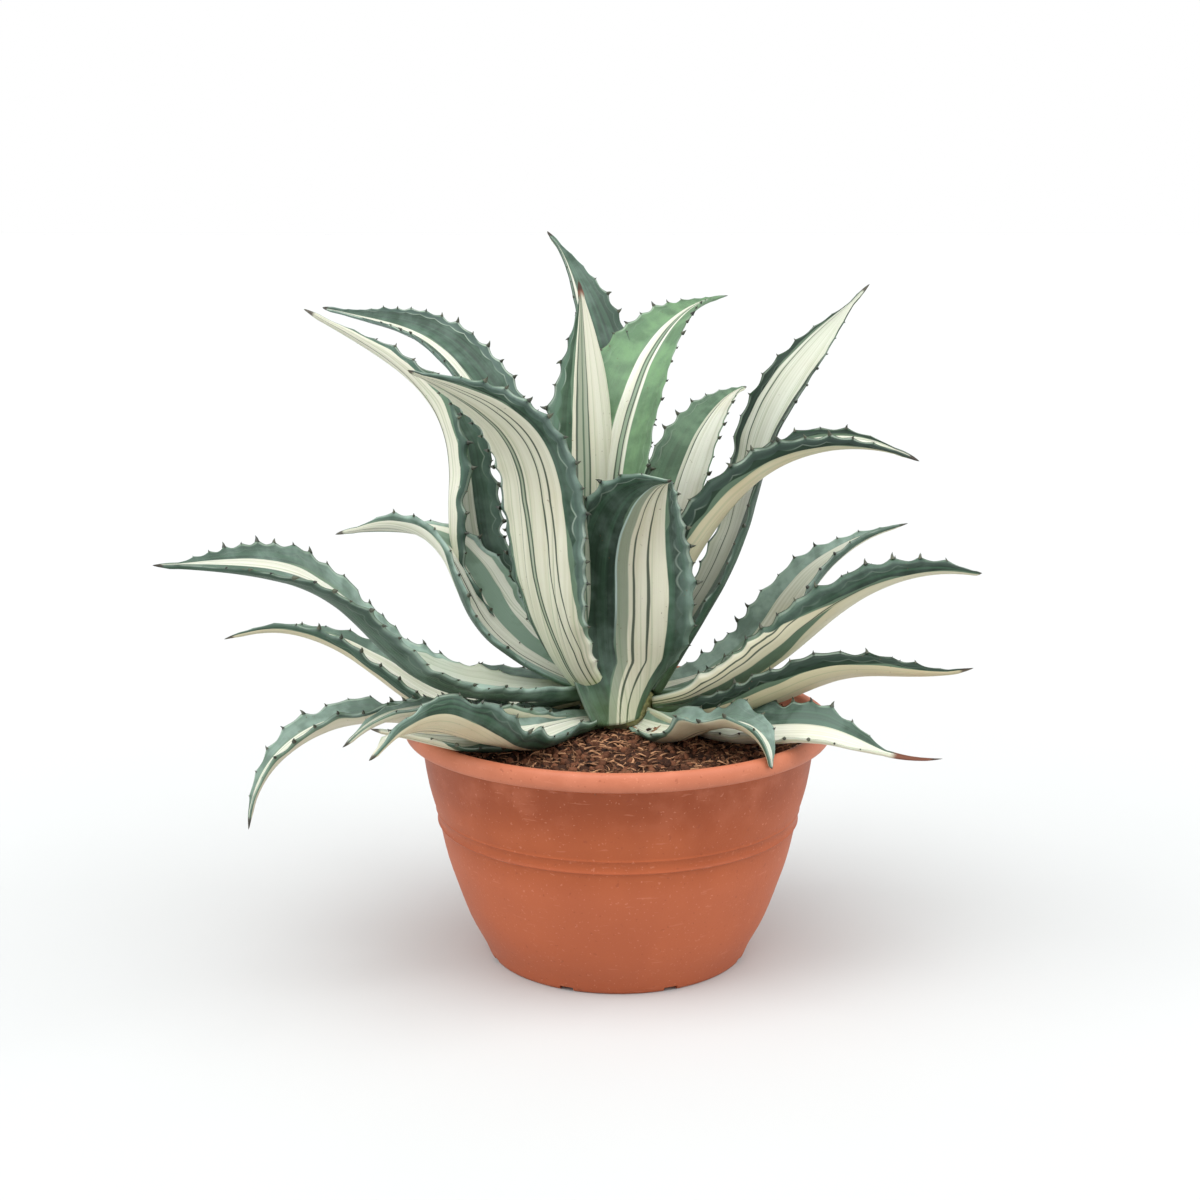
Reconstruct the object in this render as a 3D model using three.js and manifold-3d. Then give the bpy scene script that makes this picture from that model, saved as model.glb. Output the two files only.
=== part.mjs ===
// Potted mediopicta alba century plant: a rosette of toothed leaves in a bowl pot.
// Millimetres and degrees, +Z up. The origin is the centre of the pot's flat underside.

import * as THREE from 'three';
import { mergeVertices } from 'three/addons/utils/BufferGeometryUtils.js';
import Module from 'manifold-3d';

const wasm = await Module();
wasm.setup();

const GAP = 0.35;           // clearance left where one piece is cut to fit its neighbour

// Pot
const RIM_RADIUS = 150;
const RIM_CREST_RADIUS = 146;
const RIM_INNER_RADIUS = 141;
const POT_HEIGHT = 172;
const LIP_DEPTH = 13;
const WALL = 3;
const FLOOR = 4;
const POT_SIDES = 36;
// The outer wall from the foot to just under the lip, as [radius, height] pairs.
const WALL_OUTLINE = [
  [93, 1.5],
  [95, 7],
  [103.5, 24],
  [113, 48],
  [121, 72],
  [125.5, 92],
  [126, 98],
  [128.5, 100],
  [128.5, 107],
  [130.5, 111],
  [134, 124],
  [138.5, 158],
];
const INNER_WALL_HEIGHTS = [7, 24, 48, 72, 98, 124, 158];
const NOTCH_COUNT = 8;
const NOTCH = { width: 10, height: 3, innerRadius: 72 };
const DRAIN = { size: 9, radius: 78 };

// Soil
const SOIL_EDGE_HEIGHT = 161;
const SOIL_MOUND = 7;
const SOIL_RINGS = 3;
const SOIL_LUMP = 1.4;

// Stem: the short caudex that the leaves grow from, as [radius, height] pairs.
const STEM_OUTLINE = [
  [18, 140],
  [27, 156],
  [28, 172],
  [25, 186],
  [18, 198],
  [10, 207],
  [4, 212],
];
const STEM_SIDES = 20;

// Leaves
const SEGMENT = 15.5;       // length of one step along a leaf, which is also the tooth spacing
const TOOTH = 3.6;
const TOOTH_FROM = 0.14;
const TOOTH_TO = 0.9;
const MARGIN_THICKNESS = 1.2;
const BASE_THICKNESS = 7;
const TIP_THICKNESS = 2.4;
const SPINE_RADIUS = 1.3;
const FACE_POINTS = [-1, -0.45, 0.45, 1];   // places across the blade, -1 and 1 are its margins

// Each leaf is set by how it grows:
// at: where its base sits on the stem, as [bearing, distance out, height];
// heading and turn: the bearing it leaves on, and how far that swings by the tip;
// lift: its slope at the base, quarter, middle, three-quarters and tip;
// length, half: its length, and half its width across the flat blade;
// fold: half the angle through which the blade is rolled into a channel;
// roll: how far it leans over sideways, evenly spaced from the base to the tip;
// spine: the length of the bare end spine;
// fine: how much more the blade narrows towards it, from 0 to 1;
// foot: how wide its foot is, as a share of the widest place.
// Low leaves come first, because the ones above are trimmed to fit against them.
const LEAVES = {
  leaf_front_left_under: {
    at: [228, 29, 169], heading: 218, turn: -2, lift: [2, 2, 5, 18, 15],
    length: 178, half: 22, fold: 33, roll: [-4, -16, -13],
    spine: 10, fine: 0.35, foot: 0.38,
  },
  leaf_rim_left: {
    at: [214, 28, 171], heading: 213, turn: 0, lift: [12, 13, 11, 1, -40],
    length: 192, half: 18, fold: 40, roll: [1, 5, 1],
    spine: 8, fine: 0.1, foot: 0.38,
  },
  leaf_left_drooping: {
    at: [192, 28, 172], heading: 198, turn: 6, lift: [-1, 3, 9, -29, -87],
    length: 273, half: 25, fold: 48, roll: [11, 9, -22],
    spine: 14, fine: 0.4, foot: 0.38,
  },
  leaf_front_left_wavy: {
    at: [242, 28, 175], heading: 225, turn: 20, lift: [4, -2, 27, 10, -23],
    length: 246, half: 25, fold: 53, roll: [-4, -10, 15, 49, 13],
    spine: 8, fine: 0.1, foot: 0.38,
  },
  leaf_front_right_wavy: {
    at: [302, 28, 171], heading: 310, turn: 4, lift: [-8, 8, 24, -4, -80],
    length: 142, half: 27, fold: 36, roll: [30, 10, 4, -6, -22],
    spine: 3, fine: 0, foot: 0.38,
  },
  leaf_rim_right: {
    at: [335, 27, 176], heading: 325, turn: -3, lift: [-11, 1, 12, -9, 12],
    length: 224, half: 26, fold: 42, roll: [-10, 20, 40],
    spine: 38, fine: 0.3, foot: 0.38,
  },
  leaf_right_low: {
    at: [350, 28, 175], heading: 339, turn: -3, lift: [-5, 15, 27, 4, 14],
    length: 229, half: 26, fold: 68, roll: [-11, -21, -25],
    spine: 12, fine: 0.4, foot: 0.38,
  },
  leaf_back_low_left: {
    at: [143, 28, 171], heading: 147, turn: 2, lift: [6, 9, 7, 0, -8],
    length: 140, half: 21, fold: 42, roll: [0, 4],
    spine: 10, fine: 0.35, foot: 0.38,
  },
  leaf_back_low_right: {
    at: [38, 28, 172], heading: 37, turn: -2, lift: [6, 8, 6, -2, -8],
    length: 136, half: 21, fold: 42, roll: [0, -4],
    spine: 10, fine: 0.35, foot: 0.38,
  },
  leaf_back_low_middle: {
    at: [92, 28, 169], heading: 92, turn: 4, lift: [4, 14, 14, 2, -14],
    length: 215, half: 24, fold: 46, roll: [0, 4],
    spine: 10, fine: 0.35, foot: 0.38,
  },
  leaf_left_low: {
    at: [176, 27, 185], heading: 180, turn: -8, lift: [-15, -6, 35, 18, -23],
    length: 271, half: 25, fold: 55, roll: [-6, -5, 27],
    spine: 14, fine: 0.35, foot: 0.38,
  },
  leaf_left_long: {
    at: [199, 26, 190], heading: 209, turn: 36, lift: [3, 17, 45, 16, 8],
    length: 387, half: 36, fold: 37, roll: [8, -23, -30],
    spine: 16, fine: 0.5, foot: 0.38,
  },
  leaf_right_long: {
    at: [352, 26, 182], heading: 350, turn: 1, lift: [2, 25, 43, 25, -6],
    length: 250, half: 34, fold: 86, roll: [-4, -14, -9],
    spine: 4, fine: 0, foot: 0.38,
  },
  leaf_right_middle: {
    at: [30, 25, 187], heading: 23, turn: 0, lift: [-12, 16, 55, 32, 5],
    length: 250, half: 27, fold: 57, roll: [11, 9, -8],
    spine: 14, fine: 0.6, foot: 0.38,
  },
  leaf_left_small: {
    at: [184, 25, 197], heading: 173, turn: -19, lift: [23, 34, 61, 7, -19],
    length: 230, half: 32, fold: 55, roll: [-36, -9, 62],
    spine: 16, fine: 0.5, foot: 0.38,
  },
  leaf_back_right: {
    at: [62, 27, 176], heading: 77, turn: -4, lift: [26, 44, 48, 28, -2],
    length: 230, half: 25, fold: 48, roll: [0, -6],
    spine: 10, fine: 0.35, foot: 0.38,
  },
  leaf_back_left: {
    at: [122, 29, 169], heading: 109, turn: 4, lift: [16, 44, 48, 24, -4],
    length: 232, half: 25, fold: 48, roll: [0, 6],
    spine: 10, fine: 0.35, foot: 0.38,
  },
  leaf_front_centre: {
    at: [280, 28, 174], heading: 300, turn: -7, lift: [93, 87, 88, 49, 5],
    length: 213, half: 46, fold: 20, roll: [26, -44, -35, -10],
    spine: 6, fine: 0, foot: 0.6,
  },
  leaf_front_left_broad: {
    at: [238, 20, 188], heading: 216, turn: 15, lift: [32, 74, 83, 32, 16],
    length: 317, half: 32, fold: 8, roll: [6, 16, 46],
    spine: 6, fine: 0.3, foot: 0.38,
  },
  leaf_left_high: {
    at: [145, 18, 200], heading: 159, turn: 16, lift: [17, 44, 88, 42, 26],
    length: 354, half: 31, fold: 86, roll: [-62, -14, 38],
    spine: 12, fine: 0.5, foot: 0.38,
  },
  leaf_right_high: {
    at: [22, 25, 186], heading: 27, turn: 7, lift: [56, 55, 75, 48, 38],
    length: 344, half: 34, fold: 24, roll: [-7, -16, 62],
    spine: 14, fine: 0.5, foot: 0.38,
  },
  leaf_right_arched: {
    at: [2, 19, 192], heading: 357, turn: 13, lift: [91, 63, 49, 14, -28],
    length: 292, half: 35, fold: 71, roll: [-34, -19, -6, 52],
    spine: 14, fine: 0.5, foot: 0.38,
  },
  leaf_right_inner: {
    at: [46, 22, 195], heading: 55, turn: 8, lift: [75, 70, 58, 28, 2],
    length: 280, half: 27, fold: 44, roll: [1, 7, 23],
    spine: 8, fine: 0.4, foot: 0.38,
  },
  leaf_left_high_back: {
    at: [128, 18, 196], heading: 138, turn: -8, lift: [69, 58, 46, 8, 4],
    length: 452, half: 24, fold: 61, roll: [3, -15, -56],
    spine: 14, fine: 0.6, foot: 0.38,
  },
  leaf_centre_spear: {
    at: [222, 22, 199], heading: 312, turn: -3, lift: [96, 88, 91, 96, 104],
    length: 275, half: 43, fold: 49, roll: [2, 11, -20],
    spine: 10, fine: 0.3, foot: 0.38,
  },
  leaf_back_top: {
    at: [96, 30, 176], heading: 116, turn: 1, lift: [42, 96, 96, 55, 24],
    length: 380, half: 31, fold: 48, roll: [0, -3, -7],
    spine: 12, fine: 0.6, foot: 0.38,
  },
  leaf_right_upper: {
    at: [66, 17, 193], heading: 57, turn: 6, lift: [106, 101, 59, 20, -1],
    length: 396, half: 34, fold: 44, roll: [-3, 11, 5],
    spine: 26, fine: 0.6, foot: 0.38,
  },
};

// Colours and finishes
const LEAF_FINISH = { color: 0x6f8f82, roughness: 0.5, metalness: 0 };
const POT_FINISH = { color: 0xc4683f, roughness: 0.55, metalness: 0 };
const SOIL_FINISH = { color: 0x5a3c2c, roughness: 0.95, metalness: 0 };
const STEM_FINISH = { color: 0xb9c2a0, roughness: 0.6, metalness: 0 };

const radians = THREE.MathUtils.degToRad;

// A value that passes smoothly through evenly spaced ones, at the fraction s.
function smoothValue(values, s) {
  const last = values.length - 1;
  const place = Math.min(Math.max(s, 0), 1) * last;
  const i = Math.min(Math.floor(place), last - 1);
  const t = place - i;
  const before = i > 0 ? values[i - 1] : 2 * values[0] - values[1];
  const after = i < last - 1 ? values[i + 2] : 2 * values[last] - values[last - 1];
  const [b, c] = [values[i], values[i + 1]];
  const linear = c - before;
  const square = 2 * before - 5 * b + 4 * c - after;
  const cube = 3 * b - before - 3 * c + after;
  return 0.5 * (2 * b + linear * t + square * t * t + cube * t ** 3);
}

// Half the blade's width: a narrower foot, the widest place before the middle, a fine tip
// that ends in the spine.
function halfWidth(leaf, s) {
  const belly = 0.45;
  const along = Math.min(s * leaf.length / (leaf.length - leaf.spine), 1);
  const rise = leaf.foot + (1 - leaf.foot) * Math.sin(Math.PI / 2 * Math.min(along / belly, 1));
  const taper = Math.max((along - belly) / (1 - belly), 0);
  const fall = (1 - taper ** 1.7) * (1 - leaf.fine * taper ** 3);
  return Math.max(leaf.half * rise * fall, SPINE_RADIUS);
}

// The channel is open where the leaf clasps the stem and closes towards the spine.
function foldAngle(fold, s) {
  const clasp = 45;
  const tip = fold + 15;
  if (s < 0.25) {
    return THREE.MathUtils.lerp(clasp, fold, s / 0.25);
  }
  if (s > 0.6) {
    return THREE.MathUtils.lerp(fold, tip, (s - 0.6) / 0.4);
  }
  return fold;
}

// The directions along, across and out of the blade's upper face, at the fraction s.
function bladeAxes(leaf, s) {
  const slope = radians(smoothValue(leaf.lift, s));
  const bearing = radians(leaf.heading + leaf.turn * s);
  const lean = radians(smoothValue(leaf.roll, s));
  const along = new THREE.Vector3(
    Math.cos(slope) * Math.cos(bearing), Math.cos(slope) * Math.sin(bearing), Math.sin(slope));
  const level = new THREE.Vector3(-Math.sin(bearing), Math.cos(bearing), 0);
  const across = level.applyAxisAngle(along, lean);
  const up = new THREE.Vector3().crossVectors(along, across);
  return { along, across, up };
}

// One leaf as a closed solid. grow swells it on every side, to cut clearance for it.
function leafGeometry(leaf, grow = 0) {
  const steps = Math.round(leaf.length / SEGMENT);
  const step = leaf.length / steps;
  const toothEnd = 1 - (leaf.spine + SEGMENT / 2) / leaf.length;
  const [bearing, out, height] = leaf.at;
  const centre = new THREE.Vector3(
    out * Math.cos(radians(bearing)), out * Math.sin(radians(bearing)), height);
  const points = [];
  const addPoint = (point) => points.push(point.clone()) - 1;
  const rings = [];
  const teeth = [];
  const place = (axes, x, y) => centre.clone()
    .addScaledVector(axes.across, x)
    .addScaledVector(axes.up, y);
  const heelShift = bladeAxes(leaf, 0).along.multiplyScalar(grow);
  // A point of the section: u across the blade, depth below its upper face.
  const onSection = (axes, width, angle, u, depth) => {
    const radius = width / angle;
    const turn = u * angle * (1 + grow / width);
    const x = (radius + depth) * Math.sin(turn);
    const y = radius - (radius + depth) * Math.cos(turn);
    return place(axes, x, y);
  };
  for (let i = 0; i < steps; i += 1) {
    const s = i / steps;
    const axes = bladeAxes(leaf, s);
    const width = halfWidth(leaf, s);
    const angle = radians(foldAngle(leaf.fold, s));
    const middle = THREE.MathUtils.lerp(BASE_THICKNESS, TIP_THICKNESS, s);
    const thickness = (u) => (Math.abs(u) === 1 ? MARGIN_THICKNESS : middle);
    const upper = FACE_POINTS.map((u) => addPoint(onSection(axes, width, angle, u, -grow)));
    const under = [...FACE_POINTS].reverse()
      .map((u) => addPoint(onSection(axes, width, angle, u, thickness(u) + grow)));
    rings.push([...upper, ...under]);
    if (i === 0) {
      rings[0].forEach((k) => points[k].sub(heelShift));
    }
    const mid = (i + 0.5) / steps;
    const toothed = mid > TOOTH_FROM && mid < Math.min(TOOTH_TO, toothEnd);
    const toothAxes = bladeAxes(leaf, mid);
    centre.addScaledVector(toothAxes.along, step / 2);
    const toothWidth = halfWidth(leaf, mid);
    const toothAngle = radians(foldAngle(leaf.fold, mid));
    const reach = 1 + TOOTH / toothWidth;
    teeth.push(toothed && [reach, -reach].map((u) => addPoint(
      onSection(toothAxes, toothWidth, toothAngle, u, MARGIN_THICKNESS / 2))));
    centre.addScaledVector(bladeAxes(leaf, (i + 1) / steps).along, step / 2);
  }
  centre.addScaledVector(bladeAxes(leaf, 1).along, grow);
  const tip = addPoint(centre);
  const sides = rings[0].length;
  const faces = [];
  for (let i = 0; i < steps - 1; i += 1) {
    for (let j = 0; j < sides; j += 1) {
      const next = (j + 1) % sides;
      const corners = [rings[i][j], rings[i][next], rings[i + 1][next], rings[i + 1][j]];
      const margin = j === FACE_POINTS.length - 1 ? 0 : 1;
      const isMargin = j === FACE_POINTS.length - 1 || j === sides - 1;
      if (isMargin && teeth[i]) {
        const point = teeth[i][margin];
        corners.forEach((corner, k) => faces.push([corners[(k + 1) % 4], corner, point]));
      } else {
        // Both faces of the blade are split along the same diagonal, so a twist can't cross them.
        const [a, b, c, d] = j < FACE_POINTS.length
          ? corners
          : [corners[1], corners[2], corners[3], corners[0]];
        faces.push([a, c, b]);
        faces.push([a, d, c]);
      }
    }
  }
  for (let j = 0; j < sides; j += 1) {
    faces.push([rings[steps - 1][(j + 1) % sides], rings[steps - 1][j], tip]);
  }
  // The heel is closed in strips from the upper face to the under one.
  const heel = rings[0];
  for (let j = 0; j < FACE_POINTS.length - 1; j += 1) {
    faces.push([heel[j], heel[j + 1], heel[sides - 2 - j]]);
    faces.push([heel[j], heel[sides - 2 - j], heel[sides - 1 - j]]);
  }
  return closedGeometry(points, faces);
}

function closedGeometry(points, faces) {
  const geometry = new THREE.BufferGeometry();
  geometry.setAttribute('position',
    new THREE.Float32BufferAttribute(points.flatMap((p) => [p.x, p.y, p.z]), 3));
  geometry.setIndex(faces.flat());
  return geometry;
}

function toSolid(geometry) {
  const bare = geometry.clone();
  bare.deleteAttribute('normal');
  bare.deleteAttribute('uv');
  const merged = mergeVertices(bare, 1e-4);
  const solid = new wasm.Manifold(new wasm.Mesh({
    numProp: 3,
    vertProperties: new Float32Array(merged.attributes.position.array),
    triVerts: new Uint32Array(merged.index.array),
  }));
  return solid;
}

function toGeometry(solid) {
  const mesh = solid.getMesh();
  const geometry = new THREE.BufferGeometry();
  geometry.setAttribute('position', new THREE.BufferAttribute(mesh.vertProperties, 3));
  geometry.setIndex(new THREE.BufferAttribute(mesh.triVerts, 1));
  return geometry;
}

// Cutting can leave crumbs beside the piece, so only its main body is kept.
function mainBody(solid) {
  return solid.decompose().reduce((a, b) => (a.volume() >= b.volume() ? a : b));
}

// Turns an outline of [radius, height] pairs, which starts and ends on the axis, about +Z.
function turned(outline, sides) {
  const lathe = new THREE.LatheGeometry(outline.map(([r, z]) => new THREE.Vector2(r, z)), sides);
  return lathe.rotateX(Math.PI / 2);
}

function addMesh(group, name, geometry, finish) {
  const mesh = new THREE.Mesh(geometry, new THREE.MeshStandardMaterial(finish));
  mesh.name = name;
  group.add(mesh);
}

// The pot's inner wall, WALL plus inset inside the outer one, from the floor up.
function innerWall(inset) {
  return INNER_WALL_HEIGHTS.map((height) => {
    const i = WALL_OUTLINE.findIndex(([, z]) => z >= height);
    const [[r0, z0], [r1, z1]] = [WALL_OUTLINE[i - 1], WALL_OUTLINE[i]];
    const radius = THREE.MathUtils.lerp(r0, r1, (height - z0) / (z1 - z0));
    return [radius - WALL - inset, height];
  });
}

function potSolid() {
  const lipFoot = POT_HEIGHT - LIP_DEPTH;
  const inner = innerWall(0);
  const outline = [
    [0, 0],
    [91, 0],
    ...WALL_OUTLINE,
    [RIM_RADIUS - 2, lipFoot],
    [RIM_RADIUS - 0.5, lipFoot + 2],
    [RIM_RADIUS, lipFoot + 6],
    [RIM_RADIUS - 1.2, POT_HEIGHT - 2.5],
    [RIM_CREST_RADIUS, POT_HEIGHT],
    [RIM_INNER_RADIUS + 1.5, POT_HEIGHT - 0.8],
    [RIM_INNER_RADIUS, POT_HEIGHT - 3],
    ...inner.reverse(),
    [inner[inner.length - 1][0] - 3, FLOOR],
    [0, FLOOR],
  ];
  let pot = toSolid(turned(outline, POT_SIDES));
  const outside = WALL_OUTLINE[1][0] + 8;
  const notch = new THREE.BoxGeometry(outside - NOTCH.innerRadius, NOTCH.width, 2 * NOTCH.height)
    .translate((outside + NOTCH.innerRadius) / 2, 0, 0);
  const drain = new THREE.BoxGeometry(DRAIN.size, DRAIN.size, 4 * FLOOR)
    .translate(DRAIN.radius, 0, 0);
  const cutter = toSolid(notch).add(toSolid(drain));
  for (let i = 0; i < NOTCH_COUNT; i += 1) {
    pot = pot.subtract(cutter.rotate([0, 0, (i + 0.5) * 360 / NOTCH_COUNT]));
  }
  return pot;
}

// The soil fills the bowl and its lumpy top is heaped round the stem.
function soilSolid() {
  const side = innerWall(GAP).filter(([, z]) => z < SOIL_EDGE_HEIGHT - 2);
  const edge = side[side.length - 1][0];
  const top = [];
  for (let i = SOIL_RINGS; i >= 0; i -= 1) {
    const share = i / SOIL_RINGS;
    top.push([edge * share, SOIL_EDGE_HEIGHT + SOIL_MOUND * (1 - share ** 2)]);
  }
  const outline = [
    [0, FLOOR + GAP],
    [side[0][0] - 4, FLOOR + GAP],
    ...side,
    ...top,
  ];
  const soil = turned(outline, POT_SIDES);
  const position = soil.attributes.position;
  for (let i = 0; i < position.count; i += 1) {
    const [x, y, z] = [position.getX(i), position.getY(i), position.getZ(i)];
    if (z > SOIL_EDGE_HEIGHT - 0.5) {
      const lump = Math.sin(x * 0.13 + 1) * Math.cos(y * 0.11) + 0.6 * Math.sin(x * 0.07 - y * 0.16);
      position.setZ(i, z + SOIL_LUMP * lump);
    }
  }
  return toSolid(soil);
}

function stemGeometry(grow) {
  const outline = STEM_OUTLINE.map(([r, z]) => [r + grow, z]);
  const foot = STEM_OUTLINE[0][1] - grow;
  const top = STEM_OUTLINE[STEM_OUTLINE.length - 1][1] + 1 + grow;
  return turned([[0, foot], ...outline, [0, top]], STEM_SIDES);
}

const boxesMeet = (a, b) => [0, 1, 2].every((k) => a.min[k] < b.max[k] && b.min[k] < a.max[k]);

function buildPlant() {
  const plant = new THREE.Group();
  const stem = toSolid(stemGeometry(0));
  const clearances = [toSolid(stemGeometry(GAP))];
  const leafSolids = {};
  for (const [name, leaf] of Object.entries(LEAVES)) {
    let solid = toSolid(leafGeometry(leaf));
    for (const clearance of clearances) {
      if (boxesMeet(solid.boundingBox(), clearance.boundingBox())) {
        solid = solid.subtract(clearance);
      }
    }
    leafSolids[name] = mainBody(solid);
    clearances.push(toSolid(leafGeometry(leaf, GAP)));
  }
  let soil = soilSolid();
  for (const clearance of clearances) {
    if (boxesMeet(soil.boundingBox(), clearance.boundingBox())) {
      soil = soil.subtract(clearance);
    }
  }
  addMesh(plant, 'pot', toGeometry(potSolid()), POT_FINISH);
  addMesh(plant, 'soil', toGeometry(mainBody(soil)), SOIL_FINISH);
  addMesh(plant, 'stem', toGeometry(stem), STEM_FINISH);
  for (const [name, solid] of Object.entries(leafSolids)) {
    addMesh(plant, name, toGeometry(solid), LEAF_FINISH);
  }
  return plant;
}

export default buildPlant();
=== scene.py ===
# %% [markdown]
# # A potted mediopicta alba century plant
# This lesson dresses a plain CAD model of a variegated century plant in a bowl pot.
# The CAD model is loaded as a fixed frame, in metres, with +Z up and the origin under
# the middle of the pot. Finer pieces then take the place of its solids.

# %% Load the frame and keep the size of the CAD model
import math
from collections import namedtuple
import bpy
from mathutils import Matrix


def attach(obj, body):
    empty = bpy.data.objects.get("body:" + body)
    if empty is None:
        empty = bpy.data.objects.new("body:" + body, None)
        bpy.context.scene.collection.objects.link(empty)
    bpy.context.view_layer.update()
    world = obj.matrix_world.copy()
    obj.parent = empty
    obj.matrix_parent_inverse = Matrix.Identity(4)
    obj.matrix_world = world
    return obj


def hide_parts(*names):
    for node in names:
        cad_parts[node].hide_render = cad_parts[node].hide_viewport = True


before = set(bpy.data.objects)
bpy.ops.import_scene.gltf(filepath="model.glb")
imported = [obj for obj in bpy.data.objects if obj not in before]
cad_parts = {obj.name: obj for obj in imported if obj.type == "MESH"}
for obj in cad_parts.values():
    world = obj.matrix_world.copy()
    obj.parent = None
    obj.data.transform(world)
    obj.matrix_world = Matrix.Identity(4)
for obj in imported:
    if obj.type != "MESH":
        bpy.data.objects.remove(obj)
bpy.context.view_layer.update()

from types import SimpleNamespace

import bpy
import numpy as np
from mathutils import Vector, noise

print("nodes in the frame:", len(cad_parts))

# %% [markdown]
# The camera stands where the photograph was taken from: about 1.25 m in front of the
# plant, at the height of its upper leaves, and tipped down a little. A 55 mm lens on a
# 36 mm sensor gives the flattened look of a product photograph.

# %% Camera
EYE = (-0.0126, -1.250, 0.513)
TIPPED_DOWN = 11.75         # degrees
camera = bpy.data.objects.new("camera", bpy.data.cameras.new("camera"))
camera.data.lens = 55
camera.data.sensor_width = 36
camera.location = EYE
camera.rotation_euler = (math.radians(90 - TIPPED_DOWN), 0, 0)
bpy.context.scene.collection.objects.link(camera)
bpy.context.scene.camera = camera
bpy.context.scene.view_settings.view_transform = "Standard"
print("camera at", EYE, "tipped down", TIPPED_DOWN, "degrees")

# %% [markdown]
# Materials in Blender are trees of nodes. Here the output of a node is a term that can be
# added and multiplied like a number, so a tree is written as a few short formulas,
# which are easier to change than a long list of nodes and links.

# %% Terms and nodes
class Term:
    """The output of a node, which works like a number."""

    def __init__(self, tree, socket):
        self.tree = tree
        self.socket = socket

    def calc(self, operation, *others):
        return add(self.tree, "ShaderNodeMath", dict(enumerate((self, *others))), operation=operation)

    def __add__(self, other):
        return self.calc("ADD", other)

    def __sub__(self, other):
        return self.calc("SUBTRACT", other)

    def __rsub__(self, other):
        return self * -1.0 + other

    def __mul__(self, other):
        return self.calc("MULTIPLY", other)

    def __abs__(self):
        return self.calc("ABSOLUTE")


def feed(socket, term):
    """Links a term to a socket, or sets the socket to a plain value."""
    if isinstance(term, Term):
        term.tree.links.new(term.socket, socket)
    else:
        socket.default_value = term


def add(tree, kind, inputs=(), output=0, **settings):
    """Adds a node, feeds its inputs, and gives one of its outputs as a term."""
    node = tree.nodes.new(kind)
    for name, value in settings.items():
        setattr(node, name, value)
    for name, term in dict(inputs).items():
        feed(node.inputs[name], term)
    return Term(tree, node.outputs[output])


def rise(value, low, high):
    """0 below low, 1 above high, and a smooth step between them."""
    inputs = {"Value": value, "From Min": low, "From Max": high}
    return add(value.tree, "ShaderNodeMapRange", inputs, interpolation_type="SMOOTHSTEP")


def strip(value, low, high, soft):
    """1 between low and high, 0 outside, with soft edges."""
    return rise(value - low, -soft, soft) * (1.0 - rise(value - high, -soft, soft))


def point(x, y, z):
    tree = next(term.tree for term in (x, y, z) if isinstance(term, Term))
    return add(tree, "ShaderNodeCombineXYZ", {"X": x, "Y": y, "Z": z})


def axes(vector):
    node = add(vector.tree, "ShaderNodeSeparateXYZ", {"Vector": vector}).socket.node
    return [Term(vector.tree, output) for output in node.outputs]


def stretched(vector, *factors):
    """A place with each of its axes multiplied by a number of its own."""
    return point(*(value * factor for value, factor in zip(axes(vector), factors)))


print("terms are ready")

# %% [markdown]
# A finish starts from where a point lies, or from numbers that the mesh carries. Noise
# and smooth steps turn them into shares, and each share lays one more colour on top.
# Painted pictures would need an unwrapped mesh and would blur close by.

# %% Colours and finishes
def place_on(tree):
    """Where a point lies on its piece, in metres."""
    return add(tree, "ShaderNodeTexCoord", output="Object")


def reading(tree, name, output="Fac"):
    """A value that the mesh carries at each of its points."""
    return add(tree, "ShaderNodeAttribute", output=output, attribute_name=name)


def cloud(vector, scale, detail=2.0):
    inputs = {"Vector": vector, "Scale": scale, "Detail": detail}
    return add(vector.tree, "ShaderNodeTexNoise", inputs)


def tint(share, first, second):
    return add(share.tree, "ShaderNodeMix", {0: share, 6: first, 7: second}, 2, data_type="RGBA")


def layered(colour, *layers):
    """Lays colours over a first one, each given as (share, colour)."""
    for share, shade in layers:
        colour = tint(share, colour, shade)
    return colour


def rgb(red, green, blue):
    """An sRGB colour from 0 to 255 as Blender's linear one."""
    shares = [c / 255 for c in (red, green, blue)]
    return tuple(c / 12.92 if c < 0.04 else ((c + 0.055) / 1.055) ** 2.4 for c in shares) + (1,)


def new_finish(name, **sockets):
    """A material with a bare shader, whose even values are set on the shader itself."""
    material = bpy.data.materials.new(name)
    material.use_nodes = True
    shader = material.node_tree.nodes["Principled BSDF"]
    for key, value in sockets.items():
        shader.inputs[key.replace("_", " ")].default_value = value
    return material, material.node_tree, shader


def raise_relief(shader, height, distance, strength):
    inputs = {"Height": height, "Distance": distance, "Strength": strength}
    feed(shader.inputs["Normal"], add(height.tree, "ShaderNodeBump", inputs))


print("a middle grey in linear light:", [round(share, 3) for share in rgb(128, 128, 128)[:3]])

# %% [markdown]
# The floor is a wide sheet of pale paper. Three suns with soft discs stand for the big
# diffusers of a studio, high in front of the plant and at both sides. The world is white
# low down and greyer overhead, so the hollows between the leaves stay dark. Together
# they turn the open paper plain white, and only the shaded paper stays grey.

# %% Floor and light
def new_piece(name, points, faces, finish):
    """A smooth mesh in metres, on an object that stands at the origin."""
    mesh = bpy.data.meshes.new(name)
    mesh.from_pydata([tuple(p) for p in points], [], faces)
    mesh.materials.append(finish)
    mesh.shade_smooth()
    piece = bpy.data.objects.new(name, mesh)
    bpy.context.scene.collection.objects.link(piece)
    return piece


REACH = 60                  # metres of paper to every side
paper, tree, shader = new_finish("white_paper", Roughness=0.9, Specular_IOR_Level=0.1)
fibres = cloud(place_on(tree), 3.0)
feed(shader.inputs["Base Color"], tint(fibres, rgb(198, 200, 200), rgb(201, 203, 203)))
corners = [(-REACH, -REACH, 0), (REACH, -REACH, 0), (REACH, REACH, 0), (-REACH, REACH, 0)]
floor = new_piece("floor", corners, [(0, 1, 2, 3)], paper)

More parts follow.
